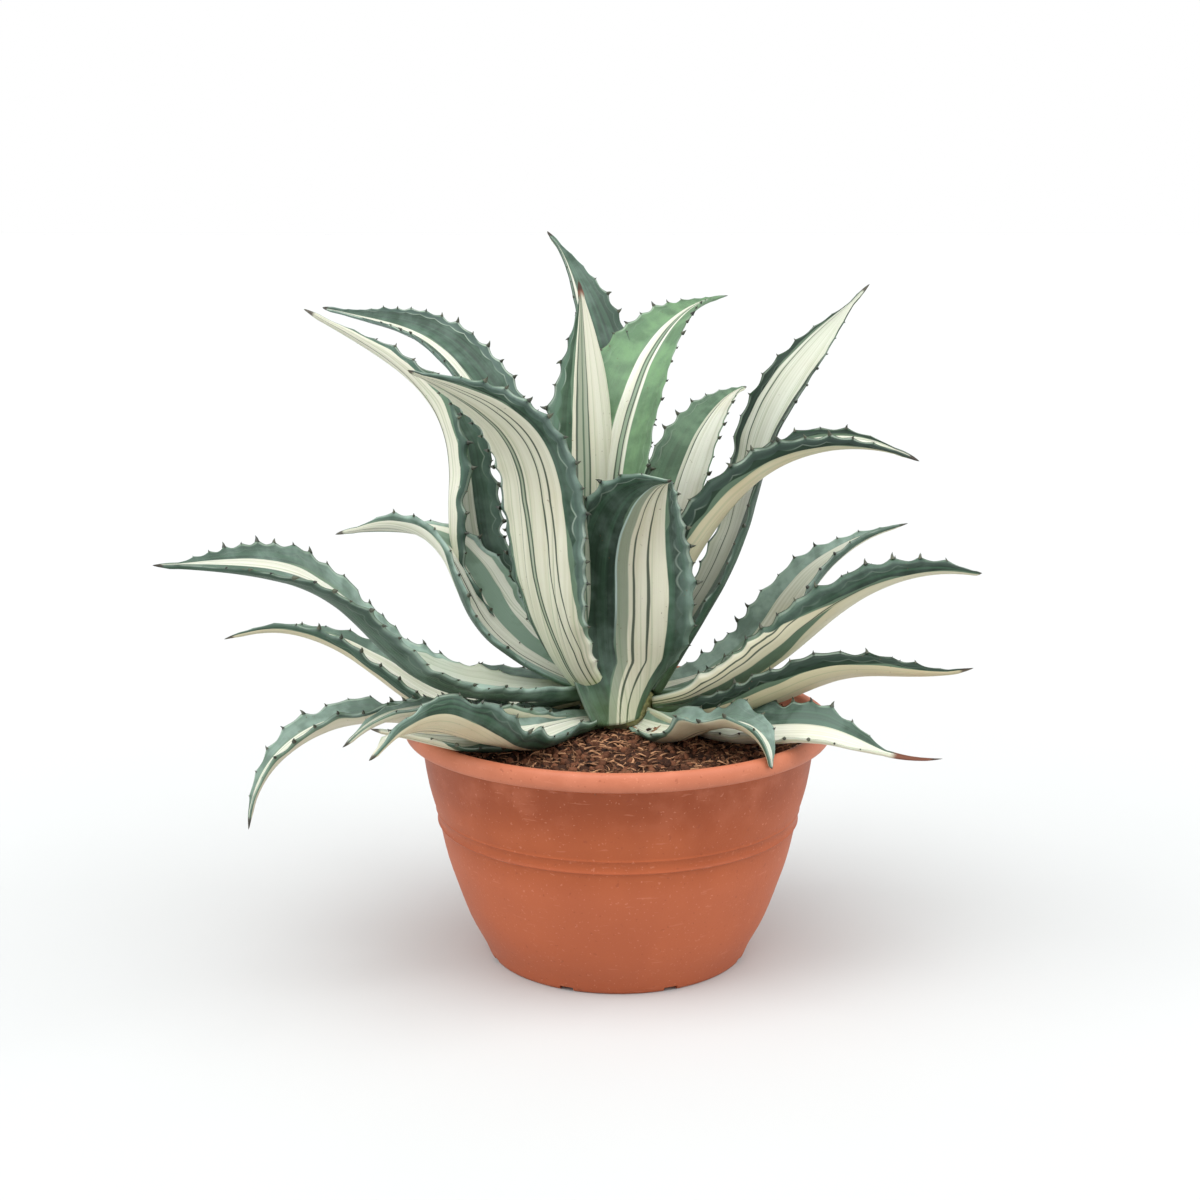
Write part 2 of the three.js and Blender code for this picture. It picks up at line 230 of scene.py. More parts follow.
WHITE, OVERHEAD = (1, 1, 1, 1), (0.72, 0.72, 0.72, 1)
world = bpy.data.worlds.new("studio")
bpy.context.scene.world = world
world.use_nodes = True
upward = axes(add(world.node_tree, "ShaderNodeTexCoord", output="Generated"))[2]
feed(world.node_tree.nodes["Background"].inputs["Color"], tint(rise(upward, 0.25, 0.6), WHITE, OVERHEAD))


def soft_sun(name, bearing, height, spread, power):
    """A sun that shines from a bearing and a height, with a disc so wide, in degrees."""
    sun = bpy.data.objects.new(name, bpy.data.lights.new(name, "SUN"))
    sun.data.angle = math.radians(spread)
    sun.data.energy = power
    flat, turn = math.cos(math.radians(height)), math.radians(bearing)
    toward = Vector((flat * math.cos(turn), flat * math.sin(turn), math.sin(math.radians(height))))
    sun.rotation_euler = toward.to_track_quat("Z", "Y").to_euler()
    bpy.context.scene.collection.objects.link(sun)


soft_sun("front_sun", 258, 72, 45, 1.6)
soft_sun("left_sun", 198, 40, 50, 1.3)
soft_sun("right_sun", 344, 40, 50, 1.2)

# %% [markdown]
# Each leaf of a century plant is a thick blade, rolled into a channel, whose slope and
# lean change steadily from base to tip. The table says how each one grows, with the same
# numbers as the CAD solids (millimetres and degrees), so the finer leaf lies where its
# solid does. A table can be corrected leaf by leaf, which a sculpted mesh can't.

# %% How each leaf grows
PLAIN_FOOT = 0.38           # how wide the foot of a leaf is, as a share of its widest place
FIELDS = "base heading turn lift length half_width fold roll spine fine foot"
Growth = namedtuple("Growth", FIELDS, defaults=(PLAIN_FOOT,))
GROWTH = {
    # name: (base as (bearing, distance, height), and the other fields in their order)
    "front_left_under": ((228, 29, 169), 218, -2, (2, 2, 5, 18, 15), 178, 22, 33, (-4, -16, -13), 10, 0.35),
    "rim_left": ((214, 28, 171), 213, 0, (12, 13, 11, 1, -40), 192, 18, 40, (1, 5, 1), 8, 0.1),
    "left_drooping": ((192, 28, 172), 198, 6, (-1, 3, 9, -29, -87), 273, 25, 48, (11, 9, -22), 14, 0.4),
    "front_left_wavy": ((242, 28, 175), 225, 20, (4, -2, 27, 10, -23), 246, 25, 53, (-4, -10, 15, 49, 13),
        8, 0.1),
    "front_right_wavy": ((302, 28, 171), 310, 4, (-8, 8, 24, -4, -80), 142, 27, 36, (30, 10, 4, -6, -22),
        3, 0),
    "rim_right": ((335, 27, 176), 325, -3, (-11, 1, 12, -9, 12), 224, 26, 42, (-10, 20, 40), 38, 0.3),
    "right_low": ((350, 28, 175), 339, -3, (-5, 15, 27, 4, 14), 229, 26, 68, (-11, -21, -25), 12, 0.4),
    "back_low_left": ((143, 28, 171), 147, 2, (6, 9, 7, 0, -8), 140, 21, 42, (0, 4), 10, 0.35),
    "back_low_right": ((38, 28, 172), 37, -2, (6, 8, 6, -2, -8), 136, 21, 42, (0, -4), 10, 0.35),
    "back_low_middle": ((92, 28, 169), 92, 4, (4, 14, 14, 2, -14), 215, 24, 46, (0, 4), 10, 0.35),
    "left_low": ((176, 27, 185), 180, -8, (-15, -6, 35, 18, -23), 271, 25, 55, (-6, -5, 27), 14, 0.35),
    "left_long": ((199, 26, 190), 209, 36, (3, 17, 45, 16, 8), 387, 36, 37, (8, -23, -30), 16, 0.5),
    "right_long": ((352, 26, 182), 350, 1, (2, 25, 43, 25, -6), 250, 34, 86, (-4, -14, -9), 4, 0),
    "right_middle": ((30, 25, 187), 23, 0, (-12, 16, 55, 32, 5), 250, 27, 57, (11, 9, -8), 14, 0.6),
    "left_small": ((184, 25, 197), 173, -19, (23, 34, 61, 7, -19), 230, 32, 55, (-36, -9, 62), 16, 0.5),
    "back_right": ((62, 27, 176), 77, -4, (26, 44, 48, 28, -2), 230, 25, 48, (0, -6), 10, 0.35),
    "back_left": ((122, 29, 169), 109, 4, (16, 44, 48, 24, -4), 232, 25, 48, (0, 6), 10, 0.35),
    "front_centre": ((280, 28, 174), 300, -7, (93, 87, 88, 49, 5), 213, 46, 20, (26, -44, -35, -10),
        6, 0, 0.6),
    "front_left_broad": ((238, 20, 188), 216, 15, (32, 74, 83, 32, 16), 317, 32, 8, (6, 16, 46), 6, 0.3),
    "left_high": ((145, 18, 200), 159, 16, (17, 44, 88, 42, 26), 354, 31, 86, (-62, -14, 38), 12, 0.5),
    "right_high": ((22, 25, 186), 27, 7, (56, 55, 75, 48, 38), 344, 34, 24, (-7, -16, 62), 14, 0.5),
    "right_arched": ((2, 19, 192), 357, 13, (91, 63, 49, 14, -28), 292, 35, 71, (-34, -19, -6, 52), 14, 0.5),
    "right_inner": ((46, 22, 195), 55, 8, (75, 70, 58, 28, 2), 280, 27, 44, (1, 7, 23), 8, 0.4),
    "left_high_back": ((128, 18, 196), 138, -8, (69, 58, 46, 8, 4), 452, 24, 61, (3, -15, -56), 14, 0.6),
    "centre_spear": ((222, 22, 199), 312, -3, (96, 88, 91, 96, 104), 275, 43, 49, (2, 11, -20), 10, 0.3),
    "back_top": ((96, 30, 176), 116, 1, (42, 96, 96, 55, 24), 380, 31, 48, (0, -3, -7), 12, 0.6),
    "right_upper": ((66, 17, 193), 57, 6, (106, 101, 59, 20, -1), 396, 34, 44, (-3, 11, 5), 26, 0.6),
}
LEAVES = {name: Growth(*row) for name, row in GROWTH.items()}
longest = max(LEAVES, key=lambda name: LEAVES[name].length)
print("leaves:", len(LEAVES), "and the longest is", longest, LEAVES[longest].length, "mm")

# %% [markdown]
# No two leaves are marked alike: the cream band is wide or narrow, central or to one
# side, and some have dark lines in it. So each leaf has its own row of places across the
# blade, from -1 at one margin to 1 at the other. Where a place is itself a row, it runs
# from the base of the leaf to its tip. No picture has to be painted.

# %% How each leaf is marked
PLAIN_MARKING = (-0.45, 0.45, (0.05,))
MARKINGS = {
    # name: (cream from, cream to, thin dark lines)
    "front_left_under": (-0.8, (0.1, 0.1, 0.1, 1.05, 1.05), (-0.3, 0.7)),
    "rim_left": (-0.6, 0.9, (0.1,)),
    "left_drooping": (-0.38, 0.86, ()),
    "front_left_wavy": ((-0.45, -0.5, -1.05, -1.05, -1.05, -1.05), (0.2, 0.3, 0.5, 0.42, 0.5, 0.7), (-0.3,)),
    "front_right_wavy": ((-0.62, -0.7, -0.92, -0.96, -0.9, -0.6), (0.4, 0.3, 0.1, 0.0, 0.2, 0.8), (-0.45,)),
    "rim_right": (-1.05, 0.32, ()),
    "right_low": (-0.66, 0.8, ()),
    "left_low": (-0.68, 0.7, ()),
    "left_long": ((-1.0, -1.0, -0.7, -0.48, -0.48, -0.48), (-0.35, -0.35, -0.2, 0, 0, 0), ()),
    "right_long": ((-0.97, -0.97, -0.9, -0.55, -0.5, -0.5), 0.6, (-0.53, -0.72, -0.82)),
    "right_middle": (-0.6, 0.52, ()),
    "left_small": (-0.88, (0.35, 0.35, 0.45, 0.85, 0.7, 0.7), (0.2,)),
    "front_centre": (-0.10, 0.63, (0.35, 0.14)),
    "front_left_broad": (-0.92, 0.56, (-0.37, -0.28, 0.12, 0.30)),
    "left_high": (-0.42, 0.82, (0.42,)),
    "right_high": ((0.05, -0.02, -0.2, -0.6, -0.88, -0.92), (1.0, 1.0, 0.92, 0.77, 0.72, 0.85), (0.56,)),
    "right_arched": (-0.66, 0.69, ()),
    "right_inner": (-0.93, 0.07, (-0.05,)),
    "left_high_back": (0.2, 0.5, (0.52,)),
    "centre_spear": (-0.53, 1.05, (-0.44, -0.30, -0.17)),
    "back_top": (0.48, 0.8, (0.5,)),
    "right_upper": (-0.32, 0.08, (-0.14, -0.23)),
}
GAPS = {
    # name: (from, to, how green); a green stripe inside the cream
    "right_long": ((-0.7, -0.6, -0.56, -0.5, -0.5, -0.5), (-0.45, -0.35, -0.3, -0.5, -0.5, -0.5), 1.0),
    "left_small": (-0.66, -0.17, 1.0),
    "left_long": (-1.2, 0, (0.4, 0.4, 0.4, 0, 0, 0)),
    "front_left_broad": (-0.37, -0.28, 0.5),
    "centre_spear": (-0.43, -0.17, 0.6),
    "front_centre": (-0.10, 0.06, 0.68),
    "right_high": (-2, 2, 0.2),
    "right_upper": (-0.22, -0.15, 0.8),
}
ROW_MARKS = {
    # what may change from base to tip: (value of most leaves, {leaf: its own})
    "shift": (0, {      # how far the markings move across the blade
        "front_centre": (-0.55, -0.05, 0, 0, 0, 0), "left_small": (0.2, 0.2, 0, 0, 0, 0),
        "front_left_broad": (0.45, 0.42, 0.15, 0, 0, 0, 0)}),
    "bloom": (0.3, {    # how much waxy bloom lies on the green
        "left_long": (1.6, 1.6, 1.2, 0.5, 0.3, 0.3), "right_high": (0.3, 0.3, 0.15, 0, 0, 0),
        "front_left_wavy": 0.75, "front_right_wavy": 0.7, "rim_left": 0.9, "right_middle": 1.0,
        "left_small": 1.4, "right_long": 0.4, "rim_right": 0.2, "front_left_broad": 0.7,
        "front_centre": 0.8, "centre_spear": 0.25, "back_top": 0.2, "left_drooping": 0.75,
        "left_low": 0.5, "right_arched": 0.0, "right_low": 0.0, "left_high": 0.2,
        "right_inner": 0.3, "left_high_back": 0.18}),
}
EVEN_MARKS = {
    # what is the same all over a leaf: (value of most leaves, {leaf: its own})
    "streak": (9, {"front_centre": -0.12}),     # where a pale streak runs; 9 is nowhere
    # beige also darkens the underside of the cream, partly as painted shade
    "beige": (0.5, {    # how beige the underside of the cream is
        "front_left_wavy": 0.9, "front_right_wavy": 0.9, "right_low": 1.0, "right_arched": 0.9,
        "right_long": 0.7, "front_left_under": 0.8, "front_centre": 0.4, "left_small": 0.1,
        "left_low": 0.9, "left_high": 0.2, "centre_spear": 0.3, "front_left_broad": 0.35}),
    "dry": (0, {"rim_right": 0.036, "centre_spear": 0.012}),    # metres of dry brown tip
    "young": (0.12, {   # how yellow-green the foot is
        "front_left_broad": 0.8, "right_upper": 0.5, "centre_spear": 0.3}),
    "light": (0, {      # how much light comes through
        "right_upper": 0.75, "right_inner": 0.4, "centre_spear": 0.12}),
    "print": (0.12, {   # how clear the print of the next leaf is
        "left_high_back": 1.0, "front_left_broad": 0.55, "left_high": 0.5, "front_centre": 0.3,
        "right_inner": 0.3, "right_arched": 0.3, "centre_spear": 0.5}),
}
PLAIN_WAVES = 1.0           # waves of 1.6 mm at most
WAVES = {
    # how high the margin waves; the rest have PLAIN_WAVES
    "front_left_wavy": 3.0, "front_right_wavy": 3.0, "left_drooping": 2.0,
    "rim_right": 2.0, "left_high": 1.8,
}
print("leaves with markings of their own:", len(MARKINGS))

# %% [markdown]
# The blade is swept along its centre line: at each of many stations its direction, width,
# roll and thickness are worked out, and a crescent section is laid across it. A sweep by
# formula fits here better than sculpting, because every leaf follows the same rule.

# %% The blade's rule, for many stations at once
MM = 0.001
SEGMENT = 15.5              # mm between two teeth, and one step of the CAD solid
MARGIN_THICKNESS = 1.2
BASE_THICKNESS = 7
TIP_THICKNESS = 2.4
SPINE_RADIUS = 1.3
WIDEST = 0.45               # where the blade is widest, as a share of its length
BASE_FOLD = 45              # degrees from the middle to the margin, at the base of every leaf
TIP_FOLD = 15               # degrees that the fold gains by the tip


def smooth_value(values, s):
    """A value that passes smoothly through evenly spaced ones, at the fractions s."""
    v = np.asarray(values, dtype=float)
    v = np.concatenate([[2 * v[0] - v[1]], v, [2 * v[-1] - v[-2]]])
    place = np.clip(s, 0, 1) * (len(values) - 1)
    i = np.minimum(place.astype(int), len(values) - 2)
    t = place - i
    a, b, c, d = v[i], v[i + 1], v[i + 2], v[i + 3]
    return 0.5 * (2 * b + (c - a) * t + (2 * a - 5 * b + 4 * c - d) * t**2
                  + (3 * b - a - 3 * c + d) * t**3)


def blade_axes(growth, s):
    """Directions along, across and out of the upper face, one row for each station."""
    slope = np.radians(smooth_value(growth.lift, s))
    bearing = np.radians(growth.heading + growth.turn * s)
    lean = np.radians(smooth_value(growth.roll, s))[:, None]
    along = np.stack([np.cos(slope) * np.cos(bearing), np.cos(slope) * np.sin(bearing),
                      np.sin(slope)], axis=1)
    level = np.stack([-np.sin(bearing), np.cos(bearing), 0 * s], axis=1)
    across = level * np.cos(lean) + np.cross(along, level) * np.sin(lean)
    return along, across, np.cross(along, across)


def centre_line(growth, s, steps):
    """Follows the blade's direction, a quarter of a CAD step ahead, as the CAD solid does."""
    bearing, out, height = growth.base
    start = (out * math.cos(math.radians(bearing)), out * math.sin(math.radians(bearing)), height)
    along = blade_axes(growth, np.minimum(s + 0.25 / steps, 1))[0]
    stretch = (along[1:] + along[:-1]) / 2 * (np.diff(s) * growth.length)[:, None]
    return np.array(start) + np.concatenate([np.zeros((1, 3)), np.cumsum(stretch, axis=0)])


def half_width(growth, s):
    """Swells from the foot to the widest place, and narrows to the end spine."""
    blade = np.minimum(s * growth.length / (growth.length - growth.spine), 1)
    swell = growth.foot + (1 - growth.foot) * np.sin(np.pi / 2 * np.minimum(blade / WIDEST, 1))
    taper = np.maximum((blade - WIDEST) / (1 - WIDEST), 0)
    fall = (1 - taper**1.7) * (1 - growth.fine * taper**3)
    to_tip = (1 - s) * growth.length
    wide = np.maximum(growth.half_width * swell * fall, SPINE_RADIUS)
    return wide * np.minimum(to_tip / growth.spine, 1) ** 0.9


def fold_angle(fold, s):
    opening = BASE_FOLD + (fold - BASE_FOLD) * np.minimum(s / 0.25, 1)
    return np.radians(opening + TIP_FOLD * np.maximum((s - 0.6) / 0.4, 0))


print("blades are", BASE_THICKNESS, "mm thick at the base and", TIP_THICKNESS, "mm near the tip")

# %% [markdown]
# A leaf's skin is dark green, finely streaked along the blade, and a pale waxy bloom lies
# on it in patches. The bloom is thinner on the underside, which keeps it darker, partly as
# painted shade. Thin young leaves also let light through. Noise drawn out along the blade
# gives the streaks, and plain noise the patches. All but the patches reads numbers that
# the mesh carries, so the markings follow the blade when it bends.

# %% Green skin of a leaf
MEASURED = "across along to_tip phase upper seed horn cream_from cream_to gap_from gap_to gap_share"
LEAF_NUMBERS = (*MEASURED.split(), *ROW_MARKS, *EVEN_MARKS)


def grain(leaf, wide, long, start, detail=2.0):
    """Noise drawn out along the blade."""
    return cloud(point(leaf.across * wide, leaf.along * long, leaf.seed + start), 1.0, detail)


def leaf_terms(tree):
    """The numbers and places that every layer of the leaf finish works from."""
    leaf = SimpleNamespace(**{name: reading(tree, name) for name in LEAF_NUMBERS})
    leaf.lines = [line for name in ("lines_a", "lines_b") for line in axes(reading(tree, name, "Vector"))]
    leaf.place = place_on(tree)
    leaf.edge = abs(leaf.across)
    leaf.spot = (grain(leaf, 0.5, 14.0, 0.0) - 0.5) * 0.14 + leaf.across - leaf.shift
    leaf.wax = rise(cloud(leaf.place, 110.0, 3.0) * 0.5 + cloud(leaf.place, 30.0, 4.0), 0.62, 0.92)
    return leaf


def green_skin(leaf):
    mottle = rise(grain(leaf, 9.0, 5.0, 4.0, 3.0), 0.3, 0.7)
    # less bloom on the underside keeps it darker: partly painted shade on the undersides
    patches = leaf.wax * (leaf.bloom * 0.40 + 0.10) * (leaf.upper * 0.65 + 0.35)
    even = (leaf.upper * 0.88 + 0.12) * (leaf.bloom * 0.42 + 0.03)
    return layered(
        tint(mottle, rgb(15, 36, 23), rgb(48, 80, 58)),
        (patches + even, rgb(156, 180, 168)),  # waxy bloom
        (rise(leaf.bloom, 0.14, 0.0) * 0.6, rgb(10, 25, 12)),  # bare skin
        (leaf.light * (leaf.wax * 0.45 + 0.5), rgb(118, 158, 108)))  # light through it


print("numbers that the leaf finish reads:", len(LEAF_NUMBERS))

# %% [markdown]
# In the bud the leaves lie pressed on each other, so each one carries the print of the
# toothed edge of the next: a row of pale arches near both margins, and greyer skin
# outside it. The arches are the absolute value of a sine that counts the teeth, which
# fits every leaf at no cost. Strokes of noise break the line.

# %% Print of the next leaf
def bud_print(leaf, skin):
    arch = abs(((leaf.phase + leaf.seed) * math.pi).calc("SINE"))
    inside = arch * -0.08 + 0.84 - leaf.edge
    broken = rise(grain(leaf, 1.0, 30.0, 8.0), 0.42, 0.58)
    drawn = strip(inside, -0.016, 0.012, 0.012) * broken
    return layered(
        skin,
        (rise(inside, 0.012, -0.012) * leaf.print * 0.35, rgb(118, 142, 136)),
        (drawn * leaf.print * 0.8, rgb(184, 200, 184)))


print("an arch of the print is", SEGMENT, "mm long")

# %% [markdown]
# The cream band is tissue without green in it. It has faint veins and hairlines, a few
# thin dark lines, a half-tone border where only one layer of the leaf is green, and below
# it is darker and beige, partly as painted shade, with tan patches. Soft steps on the
# place across the blade draw them, and their edges stay sharp from close by.

# %% Cream band of a leaf
def cream_colour(leaf):
    shade = rise(grain(leaf, 10.0, 3.0, 20.0), 0.35, 0.7)
    veins = rise(grain(leaf, 16.0, 2.5, 25.0, 3.0), 0.56, 0.66)
    hairlines = rise(grain(leaf, 28.0, 1.6, 30.0), 0.69, 0.73)
    tan = rise(cloud(leaf.place, 16.0, 3.0), 0.48, 0.72) * leaf.beige
    return layered(
        tint(shade, rgb(222, 224, 210), rgb(202, 204, 185)),
        # darker beige underside: partly painted shade on the underside of the cream
        ((1.0 - leaf.upper) * leaf.beige, rgb(196, 188, 156)),  # underside
        (veins * 0.5, rgb(158, 170, 138)),
        (hairlines * 0.7, rgb(62, 88, 70)),
        (tan * 0.4, rgb(190, 166, 128)))


def dark_lines(leaf):
    """1 where the nearest of the six line places is near enough."""
    apart = [abs(line - leaf.spot) for line in leaf.lines]
    nearest = apart[0]
    for other in apart[1:]:
        nearest = nearest.calc("MINIMUM", other)
    return rise(nearest - grain(leaf, 3.0, 16.0, 35.0) * 0.036, 0.008, -0.008)


def cream_band(leaf, skin):
    border = rise(grain(leaf, 0.3, 16.0, 12.0), 0.45, 0.7) * 0.12
    half_tone = strip(leaf.spot, leaf.cream_from - border, leaf.cream_to + border, 0.012)
    cream = tint(dark_lines(leaf) * 0.9, cream_colour(leaf), rgb(38, 58, 44))
    gap = strip(leaf.spot, leaf.gap_from, leaf.gap_to, 0.012) * leaf.gap_share
    band = strip(leaf.spot, leaf.cream_from, leaf.cream_to, 0.010) * (1.0 - gap)
    return layered(skin, (half_tone * 0.6, rgb(112, 136, 112)), (band, cream))


print("dark lines of the broad front leaf:", MARKINGS["front_left_broad"][2])

# %% [markdown]
# The last marks are small: a pale streak, the yellow-green foot, a pale broken line and
# a brown rim on the margin, flecks, a dry tip on some leaves, and the dark end spine. The
# blade is a little rougher where wax lies on it, and has fine ribs.

# %% Leaf finish
def last_marks(leaf, colour):
    streak = rise(abs(leaf.spot - leaf.streak), 0.022, 0.010) * rise(leaf.along, 0.05, 0.09)
    pale_rim = strip(leaf.edge, 0.945, 0.985, 0.012) * rise(grain(leaf, 0.5, 40.0, 60.0), 0.4, 0.6)
    flecks = rise(cloud(leaf.place, 420.0), 0.70, 0.76) * rise(cloud(leaf.place, 22.0), 0.5, 0.62)
    ragged = grain(leaf, 4.0, 40.0, 40.0) * 0.008 + leaf.to_tip
    return layered(
        colour,
        (streak * 0.8, rgb(186, 206, 198)),
        (rise(leaf.along, 0.036, 0.006) * leaf.young, rgb(136, 164, 66)),  # foot
        (pale_rim * (leaf.print * 0.5 + 0.35), rgb(184, 200, 184)),
        (rise(leaf.edge, 0.985, 1.0) * 0.5, rgb(96, 84, 66)),  # brown rim
        (flecks * 0.7, rgb(104, 80, 58)),
        (rise(ragged - leaf.dry, 0.006, 0.0), rgb(118, 74, 56)),  # dry tip
        (rise(leaf.to_tip - leaf.horn, 0.001, -0.002) * 0.85, rgb(60, 48, 42)))  # end spine


def leaf_finish():
    material, tree, shader = new_finish("variegated_leaf", Specular_IOR_Level=0.25, Subsurface_Weight=0.08,
                                        Subsurface_Radius=(0.5, 1.0, 0.4), Subsurface_Scale=0.003)
    leaf = leaf_terms(tree)
    skin = bud_print(leaf, green_skin(leaf))
    feed(shader.inputs["Base Color"], last_marks(leaf, cream_band(leaf, skin)))
    feed(shader.inputs["Roughness"], leaf.wax * 0.16 + 0.42)
    ribs = grain(leaf, 45.0, 3.0, 50.0, 3.0) + cloud(leaf.place, 900.0) * 0.25
    raise_relief(shader, ribs, 0.0006, 0.6)
    return material


LEAF_FINISH = leaf_finish()
print("leaf finish:", len(LEAF_FINISH.node_tree.nodes), "nodes")

# %% [markdown]
# Each blade gets eight stations between two teeth and some forty points round its
# section, a crescent with a low keel in its middle. The margin swells to a low cusp under
# every tooth and waves a little, and the last centimetre narrows to the round end spine.
# All stations are worked out at once, as rows of numbers, because that is fast.

# %% Points of a blade
STATIONS = 8                # from one tooth to the next
FACE, MARGIN = np.linspace(-0.86, 0.86, 15), np.linspace(0.86, 1, 4)[1:]
UPPER = np.concatenate([-MARGIN[::-1], FACE, MARGIN])
UNDER = np.linspace(1, -1, 17)[1:-1]
AROUND = np.concatenate([UPPER, UNDER])
IS_UNDER = np.concatenate([0 * UPPER, 0 * UNDER + 1])
SIDES = len(AROUND)
CUSP = 3.1                  # mm that the margin swells out under a tooth of size 1
KEEL = 0.45                 # half the width of the keel, as a share of the blade's
TOOTH_RANGE = (0.45, 1.3)   # the sizes that teeth are drawn from
TOOTHED = (0.12, 0.92)      # from and to, as shares of the leaf's length


def stations(growth, chance):
    """What is worked out along the blade: axes, widths, and the sizes of its teeth."""
    steps = round(growth.length / SEGMENT)
    s = np.linspace(0, 1, steps * STATIONS + 1)[:-1]
    row = SimpleNamespace(steps=steps, s=s, count=len(s), phase=s * steps, angle=fold_angle(growth.fold, s))
    row.along, row.across, row.up = blade_axes(growth, s)
    row.centre, row.width = centre_line(growth, s, steps), half_width(growth, s)
    slimming = np.minimum((1 - s) * growth.length / growth.spine, 1) ** 0.7
    row.thick = (BASE_THICKNESS + (TIP_THICKNESS - BASE_THICKNESS) * s) * slimming
    row.thin = np.minimum(MARGIN_THICKNESS, row.thick)
    row.slim = np.clip(row.width / 14, 0.3, 1)
    middle = (np.arange(steps) + 0.5) / steps
    last = min(TOOTHED[1], 1 - (growth.spine + SEGMENT / 2) / growth.length)
    toothed = np.where((middle > TOOTHED[0]) & (middle < last), 1.0, 0.0)
    row.sizes = {side: toothed * chance.uniform(*TOOTH_RANGE, steps) for side in (-1, 1)}
    return row


def section(row):
    """Places round the crescent at every station: across the blade, and out of its face."""
    from_middle = np.clip((np.abs(AROUND) - 0.25) / 0.75, 0, 1) ** 1.6
    thickness = row.thin[:, None] + (row.thick - row.thin)[:, None] * (1 - from_middle)
    radius = (row.width / row.angle)[:, None]
    turn = AROUND[None, :] * row.angle[:, None]
    depth = thickness * IS_UNDER
    x = (radius + depth) * np.sin(turn)
    y = radius - (radius + depth) * np.cos(turn)
    keel = 0.6 * radius * (1 - np.cos(KEEL * row.angle))[:, None]
    return x, y + keel * np.clip(1 - (AROUND / KEEL) ** 2, 0, 1) ** 2


def shape_margins(row, x, y, sway, fade, chance):
    """Raises a cusp under each tooth, and waves both margins."""
    turn = AROUND[None, :] * row.angle[:, None]
    beat = 1 - np.abs(2 * (row.phase - np.floor(row.phase)) - 1)
    cell = np.minimum(row.phase.astype(int), row.steps - 1)
    for side in (-1, 1):
        cusp = CUSP * row.sizes[side][cell] * beat**1.7 * row.slim
        weight = np.clip((side * AROUND - 0.78) / 0.22, 0, 1) ** 1.5
        x += side * cusp[:, None] * weight * np.cos(turn)
        y += cusp[:, None] * weight * np.abs(np.sin(turn))
        start = chance.uniform(0, 6.28)
        wave = np.sin(row.phase * 2.1 + start) + 0.6 * np.sin(row.phase * 3.7 + 2 * start)
        y += (sway * wave * fade)[:, None] * np.clip(side * AROUND, 0, 1) ** 3


def blade_points(name, growth, row, chance):
    x, y = section(row)
    fade = np.minimum(row.width / growth.half_width, 1) * np.minimum(row.s / 0.15, 1)
    shape_margins(row, x, y, WAVES.get(name, PLAIN_WAVES), fade, chance)
    rows = row.centre[:, None] + x[..., None] * row.across[:, None] + y[..., None] * row.up[:, None]
    tip = centre_line(growth, np.append(row.s, 0.999), row.steps)[-1]
    return np.concatenate([rows.reshape(-1, 3), [rows[0].mean(axis=0), tip]]) * MM


def blade_faces(count):
    """Quads between the stations, and a fan at the heel and at the tip."""
    a = np.arange((count - 1) * SIDES).reshape(count - 1, SIDES)
    b = np.roll(a, -1, axis=1)
    faces = np.stack([a, a + SIDES, b + SIDES, b], axis=-1).reshape(-1, 4).tolist()
    heel, last = count * SIDES, (count - 1) * SIDES
    for j in range(SIDES):
        k = (j + 1) % SIDES
        faces.append((k, heel, j))
        faces.append((last + j, heel + 1, last + k))
    return faces


print("points round a blade:", SIDES)

# %% [markdown]
# The finish asks every point of the mesh where on the leaf it is. These numbers are
# stored as attributes, and so are the leaf's own markings from the tables, because
# attributes need no unwrapping of the blade.

# %% Markings that a blade carries
def carry(piece, name, values):
    """Stores one number, or one vector, for each point of the mesh."""
    values = np.asarray(values, dtype=np.float32)
    kind, field = ("FLOAT", "value") if values.ndim == 1 else ("FLOAT_VECTOR", "vector")
    attribute = piece.data.attributes.new(name, kind, "POINT")
    attribute.data.foreach_set(field, values.ravel())


def carry_markings(leaf, name, growth, seed, row):
    def full(rows):
        return np.append(np.broadcast_to(rows, (row.count, SIDES)).ravel(), [0, 0])

    def row_by_row(value):
        places = np.linspace(0, 1, np.size(value))
        return full(np.interp(row.s, places, np.atleast_1d(value))[:, None])

    carry(leaf, "across", full(AROUND[None, :]))
    carry(leaf, "along", full((row.s * growth.length * MM)[:, None]))
    carry(leaf, "to_tip", full(((1 - row.s) * growth.length * MM)[:, None]))
    carry(leaf, "phase", full(row.phase[:, None]))
    carry(leaf, "upper", full(1 - IS_UNDER[None, :]))
    low, high, lines = MARKINGS.get(name, PLAIN_MARKING)
    gap_low, gap_high, gap_share = GAPS.get(name, (9, 9, 0))
    rows = {"cream_from": low, "cream_to": high, "gap_from": gap_low, "gap_to": gap_high,
            "gap_share": gap_share}
    rows.update({key: own.get(name, plain) for key, (plain, own) in ROW_MARKS.items()})
    for key, value in rows.items():
        carry(leaf, key, row_by_row(value))
    even = {"seed": seed * 3.7, "horn": min(growth.spine, 12) * 0.75 * MM}
    even.update({key: own.get(name, plain) for key, (plain, own) in EVEN_MARKS.items()})
    points = row.count * SIDES + 2
    for key, value in even.items():
        carry(leaf, key, np.full(points, value))
    lines = list(lines) + [9.0] * (6 - len(lines))
    carry(leaf, "lines_a", np.tile(lines[:3], (points, 1)))
    carry(leaf, "lines_b", np.tile(lines[3:], (points, 1)))


print("places across the blade run from", AROUND.min(), "to", AROUND.max())

# %% [markdown]
# Now the 27 leaves are made, each with its own rows of the tables and its own seed. Where
# a tooth will stand is noted on the way, because only the blade knows its cusps.

# %% Make the leaves
teeth = []


def triangles(piece):
    return sum(len(face.vertices) - 2 for face in piece.data.polygons)


